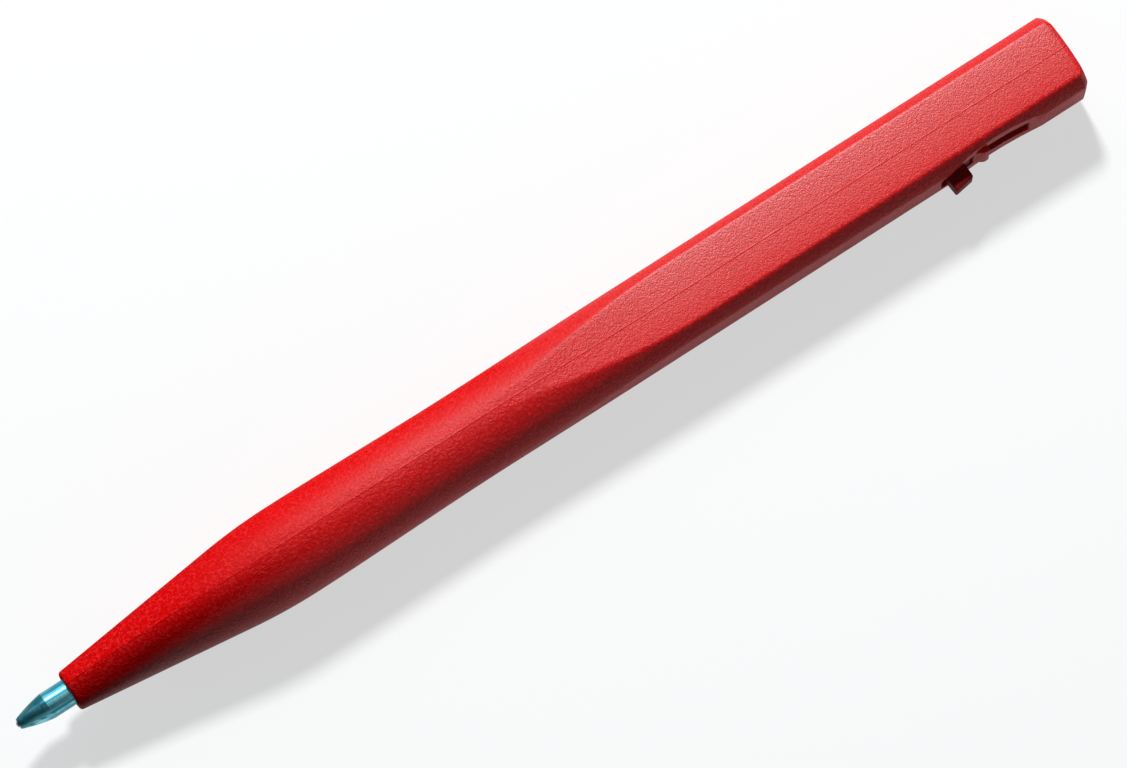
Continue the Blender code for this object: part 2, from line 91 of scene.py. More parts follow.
SCOOP_DEPTH = 0.65 * MM
SCOOP_FROM_NOSE = 117.1 * MM
PIVOT_FROM_NOSE = 91.9 * MM
PIVOT_OFFSET = 1.2 * MM
ARM_REACH = 18.5 * MM
ARM_THICKNESS = 0.9 * MM
ARM_HALF = 1.7 * MM
HEAD_LENGTH = 1.25 * MM
HEAD_THICKNESS = 1.1 * MM
BUTTON_LENGTH = 2.75 * MM
BUTTON_DRAFT = 0.3 * MM
BUTTON_HALF = 1.1 * MM
BUTTON_RISE_FRONT = 1.68 * MM
BUTTON_RISE_REAR = 1.28 * MM
HEEL_LENGTH = 0.95 * MM
HEEL_CATCH = 0.55 * MM
KNUCKLE_RADIUS = 0.9 * MM
TUBE_RADIUS = 1.55 * MM
TUBE_WALL = 0.4 * MM
BALL_RADIUS = 0.5 * MM
BALL_SHOWS = 0.25 * MM
BALL_PLAY = 0.06 * MM
POINT_LIP = 0.12 * MM
CONE_LENGTH = 3.6 * MM
POINT_BODY_LENGTH = 7.0 * MM
SPIGOT_LENGTH = 3.0 * MM
INK_CHANNEL_RADIUS = 0.3 * MM
COLLAR_FROM_NOSE = 28.0 * MM
SPRING_WIRE = 0.4 * MM
SPRING_RADIUS = 2.05 * MM

# Finer forms of the meshes
CREASE_ROUND = 0.10 * MM
SEAM_HEIGHT = 0.035 * MM
SEAM_HALF = 0.07 * MM
SEAM_TURN = math.radians(10.0)
SEAM_LEAST = 0.65
SEAM_WAVE_MIDDLE = 0.5
SEAM_WAVES = ((0.3, 0.9, 0.0), (0.2, 2.3, 1.0))  # share, radians per millimetre, phase
SIDE_SINK = 0.005 * MM
ROOF_SLOPE = math.radians(2.2)
ROOF_NOSE_UPPER = math.radians(5.0)
ROOF_NOSE_LOWER = math.radians(16.0)
ROOF_SPAN = math.radians(80.0)
ROOF_LOST_ON_FLATS = 0.8
FLAT_CROWN = 0.09 * MM
FLAT_END_ROUND = 0.3
END_CUT = 0.75
SCOOP_HALF_ANGLE = 0.42
SCOOP_OVERHANG = 1.5
WINDOW_ROUND = 0.18 * MM
WINDOW_FLARE = math.radians(72.0)
WINDOW_INWARDS = 1.6 * MM
WINDOW_OUTWARDS = 2.0 * MM
WINDOW_OUTER_GROWTH = 0.75
BRIDGE_BEVEL = 0.14 * MM
CAP_SINK = 0.02 * MM
CAP_EDGE = 0.15 * MM
CAP_SHARES = (0.1, 0.95)
CAP_CENTRE = 0.02
ARM_BEVEL = 0.1 * MM
BUTTON_BEVEL = 0.22 * MM
CONE_BELLY = 0.09 * MM
CONE_SHARES = (0.04, 0.97)
POINT_EDGE = 0.06 * MM
SPRING_END_GAP = 0.3 * MM
SPRING_CLOSED_PITCH = SPRING_WIRE * 1.03
SPRING_OPEN_TURNS = 6
SPRING_END_TURNS = 1.5

# Fineness of the meshes
RING_STEPS = 180
NOSE_STEPS = 4
END_STEPS = 8
TAPER_STEPS = 12
KNEE_STEPS = 14
GRIP_STEPS = 18
ARCH_STEPS = 34
REAR_STEPS = 34
SCOOP_STEPS = 160
CORNER_STEPS = 6
FLARE_STEPS = 5
CAP_EDGE_STEPS = 3
CAP_STEPS = 9
BEVEL_STEPS = 3
BUTTON_BEVEL_STEPS = 4
KNUCKLE_STEPS = 48
TURNED_STEPS = 96
CONE_STEPS = 14
BALL_LEVELS = 4
SPRING_STEPS = 36
SPRING_SIDES = 10
SHARP_ANGLE = 30.0
ROUND_PIECE_SHARP_ANGLE = 60.0

# Ramps: a pair of values over a span
RISE = (0.0, 1.0)
FALL = (1.0, 0.0)

# Finish of the plastic. Noise has a scale, detail and roughness.
# Spans named X lie along the pen, and spans named Y are measured from its axis.
FINE_GRAIN = (5600.0, 2.0, 0.6)
COARSE_GRAIN = (2700.0, 2.0, 0.5)
PATCHES = (1300.0, 2.0, 0.5)
PIT_SCALE = 2600.0
GRAIN_SPAN = (0.3, 0.7)
PATCH_SPAN = (0.35, 0.65)
# Darker towards the nose, and in random patches
NOSE_DARKER_X = (-60 * MM, -30 * MM)
NOSE_DARKER_MOST = 0.7
PATCHES_DARKER = 0.4
SPECKLE_FINE = 0.5
SPECKLE_COARSE = 0.5
SPECKLE_SPAN = (0.48, 0.78)
SPECKLE_MOST = 0.8
PIT_SPAN = (0.08, 0.22)
PIT_MOST = 0.7
# Painted shade: the taper is darker on its trigger side, where shade falls
PAINTED_SHADE_X = (-52 * MM, -28 * MM)
PAINTED_SHADE_Y = (-1.5 * MM, 0.5 * MM)
PAINTED_SHADE_MOST = 0.74
PAINTED_SHADE_DEPTH = 0.25
FLAT_X = (-6 * MM, 18 * MM)
FLAT_FACING = (0.93, 0.99)
GLOSS_X = (-46 * MM, -16 * MM)
GLOSS_MOST = 0.28
RIM_X = (-4 * MM, 12 * MM)
RIM_Y = (1.2 * MM, 4.0 * MM)
RIM_LOSS = (-0.15, 0.95)
UNDER_X = (-50 * MM, -10 * MM)
UNDER_Y = (-3.0 * MM, -1.8 * MM)
UNDER_GLOSS = 0.4
SATIN_Y = (-3.0 * MM, 3.5 * MM)
SATIN_GLOSS = (0.13, 0.74)
MEAN_GLOSS = 0.3
PLASTIC_ROUGH = (0.43, 0.55)
FLAT_POLISH = 0.02
CENTRED = (-0.5, 0.5)
WAVES_ROUND_TO_FLAT = (1.4, 0.3)
PLASTIC_IOR = 1.49

# Finish of the metal and of the clear plastic
METAL_NOISE = (1.0, 3.0, 0.6)
LINE_STRETCH = (9000.0, 500.0, 500.0)
STREAK_STRETCH = (40.0, 2600.0, 2600.0)
STREAK_SPAN = (0.42, 0.58)
STREAK_RELIEF = 2.0
TARNISH = (900.0, 4.0, 0.6)
TARNISH_SPAN = (0.45, 0.75)
TARNISH_MOST = 0.6
METAL_RELIEF = 0.005 * MM
# Painted shade on the point's cone, for its dark reflection, except on the trigger side
CONE_SHADE_EDGE = 0.05 * MM
CONE_SHADE_Y = (-1.0 * MM, -0.5 * MM)
CONE_SHADE_MOST = 0.75
CONE_SHADE_DEPTH = 0.5
CLOUD = (700.0, 3.0, 0.5)
DRAW_NOISE = (1.0, 2.0, 0.5)
DRAW_STRETCH = (60.0, 3000.0, 3000.0)
CLEAR_ROUGH = (0.18, 0.34)
CLEAR_RELIEF = 0.006 * MM

# Light. A wall has a direction, the cosines at which it begins and is full, and a colour.
KEY_OFFSET = Vector((0.20, 0.60, 0.69))
KEY_SIZE = 0.15
KEY_POWER = 9.9
ROOM_COLOUR = (0.060, 0.070, 0.075, 1.0)
LIT_WALL = (Vector((0.12, 0.80, 0.58)), (0.84, 0.97), (0.62, 0.74, 0.82, 1.0))
SHADE_WALL = (Vector((0.0, -0.92, 0.38)), (0.50, 0.95), (0.18, 0.24, 0.25, 1.0))
FLOOR_SIZE = 3.0
FLOOR_SHADOW = 0.4
FLOOR_PAPER = (0.93, 0.93, 0.93, 1.0)
FLOOR_BOUNCE = (0.28, 0.28, 0.28, 1.0)
FLOOR_ROUGH = 0.9
FLOOR_GLOSS = 0.1

# Camera: the photograph's viewing angle
IMAGE_WIDTH = 1127
SENSOR = 36.0
VIEW_ROLL = math.radians(12.0)
VIEW_TILT = math.radians(8.0)
VIEW_DISTANCE = 0.9069
METRES_PER_PIXEL = 0.000108373
AXIS_SLOPE = math.radians(32.605)
AIM_ALONG = 1.65 * MM
AIM_ACROSS = 0.75 * MM
CLIP_START = 0.01
CLIP_END = 20.0


def along(distance):
    """X of a point at this distance from the nose face."""
    return distance - MIDDLE


def at(distance, y=0.0, z=0.0):
    """Point at this distance from the nose face, offset from the pen's axis."""
    return AXIS + Vector((along(distance), y, z))


def ease(value, low, high):
    """From 0 at low to 1 at high, level at both ends."""
    share = min(1.0, max(0.0, (value - low) / (high - low)))
    return share * share * (3 - 2 * share)


def spread(low, high, steps):
    return [low + (high - low) * i / steps for i in range(steps + 1)]


def soft_min(first, second, blend):
    """The smaller of two lengths, with the crease between them rounded off."""
    mix = max(0.0, blend - abs(first - second)) / blend
    return min(first, second) - mix * mix * blend / 4


def outer_radius(distance):
    """Radius of the barrel before its flats: taper, rounded knee, waist, then the rear bar."""
    slope = (GRIP_RADIUS - NOSE_RADIUS) / KNEE_FROM_NOSE
    knee_end = KNEE_FROM_NOSE + KNEE_BLEND
    if distance <= KNEE_FROM_NOSE - KNEE_BLEND:
        return NOSE_RADIUS + slope * distance
    if distance <= knee_end:
        return GRIP_RADIUS - slope * (knee_end - distance) ** 2 / (4 * KNEE_BLEND)
    if distance <= WAIST_FROM_NOSE:
        share = ease(distance, knee_end, WAIST_FROM_NOSE)
        return GRIP_RADIUS + (WAIST_RADIUS - GRIP_RADIUS) * share
    share = ease(distance, WAIST_FROM_NOSE, FLATS_FULL)
    return WAIST_RADIUS + (REAR_RADIUS - WAIST_RADIUS) * share


def outer_sizes(distance):
    """Radius and half sizes across the narrow and wide flats, which run in as a long arch."""
    radius = outer_radius(distance)
    share = ease(distance, FLATS_BEGIN, FLATS_FULL)
    if share == 0:
        return radius, radius, radius
    start = outer_radius(FLATS_BEGIN)
    return radius, start + (HALF_NARROW - start) * share, start + (HALF_WIDE - start) * share


def roof(angle, slopes, turn):
    """Share of its radius that the outside falls short of a true round.

    This leaves a slight ridge along the seam, which falls off by one slope towards +Y and by
    another towards -Y.
    """
    mirrored = min(angle, FULL_TURN - angle)
    from_seam = mirrored - (QUARTER_TURN - turn)
    slope = slopes[0] if from_seam < 0 else slopes[1]
    share = abs(from_seam) / ROOF_SPAN
    if share >= 1:
        return 0.0
    return math.tan(slope) * abs(from_seam) * math.cos(share * QUARTER_TURN) ** 2


def ring_angles(half_wide, seam, turn):
    """Pairs of an angle from +Y and the height of the mould seam there.

    The seams lie near +Z and -Z.
    """
    top = QUARTER_TURN - turn
    bounds = [0.0, top, math.pi, FULL_TURN - top, FULL_TURN]
    steps = RING_STEPS // 4
    seam_angle = SEAM_HALF / half_wide
    angles = []
    for part in range(4):
        low = bounds[part]
        high = bounds[part + 1]
        for i in range(steps):
            angle = low + (high - low) * i / steps
            if i == 0 and part in (1, 3):
                angles += [(angle - seam_angle, 0.0), (angle, seam), (angle + seam_angle, 0.0)]
            else:
                angles.append((angle, 0.0))
    return angles


def ring(distance, sizes, inset=0.0, dome=0.0, seam=None, slopes=(0.0, 0.0), crown=0.0,
         turn=0.0):
    """Ring of a round bar with flats facing Y and Z and softened creases.

    With a seam it is a ring of the outside, which carries the mould seam.
    """
    radius, half_narrow, half_wide = [size - inset for size in sizes]
    if seam is not None:
        half_wide += inset * (1 - FLAT_END_ROUND)
    points = []
    for angle, raised in ring_angles(half_wide, seam or 0.0, turn):
        across_y = math.cos(angle)
        across_z = math.sin(angle)
        reach = radius * (1 - roof(angle, slopes, turn))
        if half_narrow < radius:
            reach = soft_min(reach, half_narrow / max(abs(across_y), TINY), CREASE_ROUND)
        if half_wide < radius:
            upright = max(abs(across_z), TINY)
            aside = min(1.0, half_wide * abs(across_y) / upright / half_narrow)
            reach = soft_min(reach, (half_wide - crown * aside ** 2) / upright, CREASE_ROUND)
        if seam is not None:
            reach += raised - max(SIDE_SINK, SEAM_HEIGHT * across_z ** 4)
        sunk = dome * (reach / REAR_RADIUS) ** 2
        offset = Vector((along(distance) - sunk, reach * across_y, reach * across_z))
        points.append(AXIS + offset)
    return points


def mesh_from(name, bm, sharp=SHARP_ANGLE):
    bmesh.ops.recalc_face_normals(bm, faces=bm.faces)
    mesh = bpy.data.meshes.new(name)
    bm.to_mesh(mesh)
    bm.free()
    smoothed(mesh, sharp)
    return mesh


def smoothed(mesh, sharp=SHARP_ANGLE):
    mesh.shade_smooth()
    mesh.set_sharp_from_angle(angle=math.radians(sharp))


def skin(name, rings, looped=False, sharp=SHARP_ANGLE):
    """Cover rings of equally many points.

    A looped skin closes on its first ring, others get end faces.
    """
    bm = bmesh.new()
    loops = [[bm.verts.new(point) for point in points] for points in rings]
    pairs = list(zip(loops, loops[1:]))
    if looped:
        pairs.append((loops[-1], loops[0]))
    else:
        bm.faces.new(loops[0])
        bm.faces.new(loops[-1])
    for first, second in pairs:
        count = len(first)
        for i in range(count):
            j = (i + 1) % count
            bm.faces.new((first[i], first[j], second[j], second[i]))
    return mesh_from(name, bm, sharp)


def prism(name, outline, half_width, bevel=0.0, segments=BEVEL_STEPS):
    """A side outline of (x, y) points, made solid from -half_width to half_width in Z."""
    bm = bmesh.new()
    low = [bm.verts.new((x, y, -half_width)) for x, y in outline]
    high = [bm.verts.new((x, y, half_width)) for x, y in outline]
    bm.faces.new(low)
    bm.faces.new(high)
    for i in range(len(outline)):
        j = (i + 1) % len(outline)
        bm.faces.new((low[i], low[j], high[j], high[i]))
    bmesh.ops.recalc_face_normals(bm, faces=bm.faces)
    if bevel:
        bmesh.ops.bevel(bm, geom=bm.edges[:], offset=bevel, segments=segments, profile=0.5,
                        affect="EDGES")
    return mesh_from(name, bm)


def turned(name, profile):
    """A piece turned about the pen's axis from a closed outline of (distance, radius) pairs."""
    turn = FULL_TURN / TURNED_STEPS
    rings = []
    for distance, radius in profile:
        rings.append([at(distance, radius * math.cos(i * turn), radius * math.sin(i * turn))
                      for i in range(TURNED_STEPS)])
    return skin(name, rings, looped=True)


def piece(name, mesh, body, node, material):
    """One visible piece that stands for a CAD node and moves with its body."""
    thing = bpy.data.objects.new(name, mesh)
    bpy.context.scene.collection.objects.link(thing)
    thing.data.materials.clear()
    thing.data.materials.append(material)
    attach(thing, body)
    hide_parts(node)
    return thing


def helper(name, mesh, offset=(0.0, 0.0, 0.0)):
    thing = bpy.data.objects.new(name, mesh)
    thing.location = offset
    bpy.context.scene.collection.objects.link(thing)
    return thing


def combined(name, base, steps):
    """The base mesh after cuts and joins with helpers, as one new mesh. The helpers are removed."""
    target = helper(name, base)
    for block, operation in steps:
        change = target.modifiers.new(block.name, "BOOLEAN")
        change.operation = operation
        change.object = block
    bpy.context.view_layer.update()
    shaped = target.evaluated_get(bpy.context.evaluated_depsgraph_get())
    mesh = bpy.data.meshes.new_from_object(shaped)
    for thing in [target] + [block for block, _ in steps]:
        bpy.data.objects.remove(thing, do_unlink=True)
    mesh.name = name
    smoothed(mesh)
    return mesh


def quarter_round(radius, steps, cut=0.0):
    """Pairs (inset, advance) round a corner, from its side to its end face.

    A cut of 1 is a plain chamfer.
    """
    pairs = []
    for angle in spread(0.0, QUARTER_TURN, steps):
        inset = 1 - math.cos(angle)
        advance = math.sin(angle)
        middle = (inset + advance) / 2
        pairs.append((radius * (inset + (middle - inset) * cut),
                      radius * (advance + (middle - advance) * cut)))
    return pairs


def seam_at(distance):
    """Height of the mould seam, which is a little uneven along the pen."""
    wave = SEAM_WAVE_MIDDLE
    for share, rate, phase in SEAM_WAVES:
        wave += share * math.sin(distance / MM * rate + phase)
    return SEAM_HEIGHT * (SEAM_LEAST + (1 - SEAM_LEAST) * wave)


def outside(distance, inset=0.0, dome=0.0, place=None):
    """Ring of the barrel's outside. A rounded end passes the place whose sizes it is inset from."""
    share = ease(distance, FLATS_BEGIN, FLATS_FULL)
    nose = 1 - ease(distance, 0.0, KNEE_FROM_NOSE)
    sizes = outer_sizes(distance if place is None else place)
    seam = seam_at(distance) * (1 - inset / END_ROUND)
    level = ROOF_SLOPE * (1 - ROOF_LOST_ON_FLATS * share) * (1 - nose)
    slopes = (level + ROOF_NOSE_UPPER * nose, level + ROOF_NOSE_LOWER * nose)
    return ring(distance, sizes, inset, dome, seam, slopes, FLAT_CROWN * share, SEAM_TURN * nose)


def barrel_stations():
    """Distances of the outside's rings between its two rounded ends."""
    knee_start = KNEE_FROM_NOSE - KNEE_BLEND
    knee_end = KNEE_FROM_NOSE + KNEE_BLEND
    places = [NOSE_ROUND]
    for end, steps in ((knee_start, TAPER_STEPS), (knee_end, KNEE_STEPS),
                       (WAIST_FROM_NOSE, GRIP_STEPS), (FLATS_FULL, ARCH_STEPS),
                       (BODY_LENGTH - END_ROUND, REAR_STEPS)):
        places += spread(places[-1], end, steps)[1:]
    return places[:-1]


def scoop_floor(x):
    """Y of the narrow flat on the trigger side, sunk in the thumb scoop."""
    offset = x - along(SCOOP_FROM_NOSE)
    if abs(offset) >= SCOOP_RADIUS:
        return -HALF_NARROW
    reach = math.sqrt(SCOOP_RADIUS ** 2 - offset ** 2)
    return max(-HALF_NARROW, SCOOP_DEPTH - HALF_NARROW - SCOOP_RADIUS + reach)


def scoop_mesh():
    middle_x = along(SCOOP_FROM_NOSE)
    middle_y = SCOOP_DEPTH - HALF_NARROW - SCOOP_RADIUS
    outline = []
    for angle in spread(-SCOOP_HALF_ANGLE, SCOOP_HALF_ANGLE, SCOOP_STEPS):
        outline.append((middle_x + SCOOP_RADIUS * math.sin(angle),
                        middle_y + SCOOP_RADIUS * math.cos(angle)))
    return prism("scoop", outline, REAR_RADIUS * SCOOP_OVERHANG)


def window_mesh():
    """The window's cutter. Its sides flare at the scoop, which rounds the window's edges."""
    half_length = (SLOT_REAR - SLOT_FRONT) / 2
    middle = along((SLOT_FRONT + SLOT_REAR) / 2)

    def outline(grown):
        corner = SLOT_CORNER + grown
        points = []
        for turn, side_x, side_z in ((0, 1, 1), (1, -1, 1), (2, -1, -1), (3, 1, -1)):
            centre_x = side_x * (half_length - SLOT_CORNER)
            centre_z = side_z * (SLOT_HALF - SLOT_CORNER)
            for angle in spread(turn * QUARTER_TURN, (turn + 1) * QUARTER_TURN, CORNER_STEPS):
                points.append((centre_x + corner * math.cos(angle),
                               centre_z + corner * math.sin(angle)))
        return points

    levels = [(0.0, WINDOW_INWARDS), (0.0, WINDOW_ROUND)]
    for angle in spread(0.0, WINDOW_FLARE, FLARE_STEPS)[1:]:
        levels.append((WINDOW_ROUND * (1 - math.cos(angle)), WINDOW_ROUND * (1 - math.sin(angle))))
    levels.append((WINDOW_ROUND * WINDOW_OUTER_GROWTH, -WINDOW_OUTWARDS))
    rings = []
    for grown, depth in levels:
        rings.append([(middle + x, scoop_floor(middle + x) + depth, z) for x, z in outline(grown)])
    return skin("window", rings)


def bridge_mesh():
    inner = -(HALF_NARROW - WALL)
    low = SCOOP_DEPTH - HALF_NARROW
    front = along(BRIDGE_FRONT)
    rear = front + BRIDGE_LENGTH
    outer = -HALF_NARROW
    outline = [
        (front, inner), (rear, inner), (rear, outer), (front + BRIDGE_RAMP, outer), (front, low),
    ]
    return prism("bridge", outline, BRIDGE_HALF, BRIDGE_BEVEL)


def barrel_mesh():
    """Outside from nose to rear end, then back along the bore, with scoop and trigger window."""
    rings = []
    for inset, advance in reversed(quarter_round(NOSE_ROUND, NOSE_STEPS)[1:]):
        rings.append(outside(NOSE_ROUND - advance, inset, place=NOSE_ROUND))
    for place in barrel_stations():
        rings.append(outside(place))
    for inset, advance in quarter_round(END_ROUND, END_STEPS, END_CUT):
        rings.append(outside(BODY_LENGTH - END_ROUND + advance, inset, END_DOME))
    rings.append(ring(BODY_LENGTH, CHAMBER, 0.0, END_DOME))
    for place in (BODY_LENGTH - PLUG_LENGTH, CHAMBER_FRONT):
        rings.append(ring(place, CHAMBER))
    for place, radius in ((CHAMBER_FRONT - CHAMBER_LEAD, BORE_RADIUS), (BORE_FULL, BORE_RADIUS),
                          (SPRING_SEAT, SEAT_BORE_RADIUS), (SPRING_SEAT, NOSE_HOLE_RADIUS),
                          (0.0, NOSE_HOLE_RADIUS)):
        rings.append(ring(place, (radius, radius, radius)))
    return combined("barrel_moulding", skin("barrel_loft", rings, looped=True), [
        (helper("scoop_cutter", scoop_mesh(), AXIS), "DIFFERENCE"),
        (helper("window_cutter", window_mesh(), AXIS), "DIFFERENCE"),
        (helper("bridge_block", bridge_mesh(), AXIS), "UNION"),
    ])


def plug_mesh():
    """A cup that fills the rear hole, open inwards, whose end carries on the barrel's dome."""
    inner = BODY_LENGTH - PLUG_LENGTH
    floor = BODY_LENGTH - PLUG_FLOOR
    end = BODY_LENGTH - CAP_SINK
    pocket = WALL + FIT_CLEARANCE
    rings = [
        ring(floor, CHAMBER, pocket), ring(inner, CHAMBER, pocket),
        ring(inner, CHAMBER, FIT_CLEARANCE),
    ]
    for inset, advance in quarter_round(CAP_EDGE, CAP_EDGE_STEPS):
        rings.append(ring(end - CAP_EDGE + advance, CHAMBER, FIT_CLEARANCE + inset, END_DOME))
    smallest = min(CHAMBER) - FIT_CLEARANCE - CAP_EDGE
    for share in spread(*CAP_SHARES, CAP_STEPS):
        sizes = [(size - FIT_CLEARANCE - CAP_EDGE) * (1 - share) + smallest * CAP_CENTRE
                 for size in CHAMBER]
        rings.append(ring(end, sizes, 0.0, END_DOME))
    return skin("end_cap", rings)


def trigger_mesh():
    """Spring arm on a knuckle, a head inside the barrel and the rounded button that stands out."""
    half_root = ARM_THICKNESS / 2
    head_start = ARM_REACH - HEAD_LENGTH
    button_rear = ARM_REACH + BUTTON_LENGTH
    heel_end = button_rear + HEEL_LENGTH
    head_outer = PIVOT_OFFSET - (HALF_NARROW - WALL) + SLIDE_CLEARANCE
    head_inner = head_outer + HEAD_THICKNESS
    arm_outline = [
        (0.0, half_root), (head_start, head_inner), (heel_end, head_inner),
        (heel_end, head_outer), (head_start, head_outer), (0.0, -half_root),
    ]
    root = head_outer + HEAD_THICKNESS / 2
    crown_front = PIVOT_OFFSET - HALF_NARROW - BUTTON_RISE_FRONT
    crown_rear = PIVOT_OFFSET - HALF_NARROW - BUTTON_RISE_REAR
    heel_top = PIVOT_OFFSET - (HALF_NARROW - WALL) - HEEL_CATCH
    button_outline = [
        (ARM_REACH, root), (ARM_REACH + BUTTON_DRAFT, crown_front), (button_rear, crown_rear),
        (button_rear, heel_top), (heel_end, heel_top), (heel_end, root),
    ]
    turn = FULL_TURN / KNUCKLE_STEPS
    knuckle_outline = [(KNUCKLE_RADIUS * math.cos(i * turn), KNUCKLE_RADIUS * math.sin(i * turn))
                       for i in range(KNUCKLE_STEPS)]
    knuckle_half = HALF_WIDE - WALL - SLIDE_CLEARANCE
    button = prism("button", button_outline, BUTTON_HALF, BUTTON_BEVEL, BUTTON_BEVEL_STEPS)
    mesh = combined("trigger_moulding", prism("arm", arm_outline, ARM_HALF, ARM_BEVEL), [
        (helper("button_block", button), "UNION"),
        (helper("knuckle_pin", prism("knuckle", knuckle_outline, knuckle_half)), "UNION"),
    ])
    mesh.transform(Matrix.Translation(at(PIVOT_FROM_NOSE, -PIVOT_OFFSET)))
    return mesh


def point_mesh():
    """Metal point: rolled lip, slightly bellied cone, cylinder and spigot.

    The socket of the ball and the ink channel are inside.
    """
    tip = BALL_SHOWS - POINT_OUT
    ball_middle = BALL_RADIUS - POINT_OUT
    mouth = math.sqrt(BALL_RADIUS ** 2 - (BALL_RADIUS - BALL_SHOWS) ** 2) + BALL_PLAY
    seat = ball_middle + BALL_RADIUS
    cone_end = tip + CONE_LENGTH
    shoulder = cone_end + POINT_BODY_LENGTH
    spigot = TUBE_RADIUS - TUBE_WALL - FIT_CLEARANCE
    spigot_end = shoulder + SPIGOT_LENGTH
    lip = mouth + POINT_LIP
    profile = [(tip, lip - POINT_EDGE / 2), (tip + POINT_EDGE / 2, lip)]
    for share in spread(*CONE_SHARES, CONE_STEPS):
        bulge = CONE_BELLY * 4 * share * (1 - share)
        profile.append((tip + CONE_LENGTH * share, lip + (TUBE_RADIUS - lip) * share + bulge))
    profile += [
        (cone_end, TUBE_RADIUS), (cone_end + POINT_EDGE, TUBE_RADIUS),
        (shoulder - POINT_EDGE, TUBE_RADIUS), (shoulder, TUBE_RADIUS - POINT_EDGE),
        (shoulder, spigot), (spigot_end, spigot), (spigot_end, INK_CHANNEL_RADIUS),
        (seat, INK_CHANNEL_RADIUS), (seat, BALL_RADIUS + BALL_PLAY),
        (ball_middle, BALL_RADIUS + BALL_PLAY), (tip, mouth),
    ]
    return turned("metal_point", profile)


def ball_mesh():
    bm = bmesh.new()
    bmesh.ops.create_icosphere(bm, subdivisions=BALL_LEVELS, radius=BALL_RADIUS)
    bmesh.ops.translate(bm, verts=bm.verts, vec=at(BALL_RADIUS - POINT_OUT))
    return mesh_from("writing_ball", bm, ROUND_PIECE_SHARP_ANGLE)


def spring_mesh():
    """Wire spring with closed end turns, swept as a tube along its helix."""
    gap = SPRING_WIRE / 2 + SPRING_END_GAP
    start = SPRING_SEAT + gap
    length = COLLAR_FROM_NOSE - gap - start
    open_pitch = (length - 2 * SPRING_END_TURNS * SPRING_CLOSED_PITCH) / SPRING_OPEN_TURNS
    total = int((SPRING_OPEN_TURNS + 2 * SPRING_END_TURNS) * SPRING_STEPS)
    centres = []
    for i in range(total + 1):
        turns = i / SPRING_STEPS
        rise = min(turns, SPRING_END_TURNS) * SPRING_CLOSED_PITCH
        rise += min(max(turns - SPRING_END_TURNS, 0.0), SPRING_OPEN_TURNS) * open_pitch
        rise += max(turns - SPRING_END_TURNS - SPRING_OPEN_TURNS, 0.0) * SPRING_CLOSED_PITCH
        angle = FULL_TURN * turns
        centres.append(at(start + rise, SPRING_RADIUS * math.cos(angle),
                          SPRING_RADIUS * math.sin(angle)))
    rings = []
    for i, centre in enumerate(centres):
        ahead = (centres[min(i + 1, total)] - centres[max(i - 1, 0)]).normalized()
        out = Vector((0.0, centre.y - AXIS.y, centre.z - AXIS.z)).normalized()
        out = (out - ahead * out.dot(ahead)).normalized()
        side = ahead.cross(out)
        points = []
        for k in range(SPRING_SIDES):
            angle = FULL_TURN * k / SPRING_SIDES
            points.append(centre + (out * math.cos(angle) + side * math.sin(angle))
                          * SPRING_WIRE / 2)
        rings.append(points)
    return skin("wire_spring", rings, sharp=ROUND_PIECE_SHARP_ANGLE)


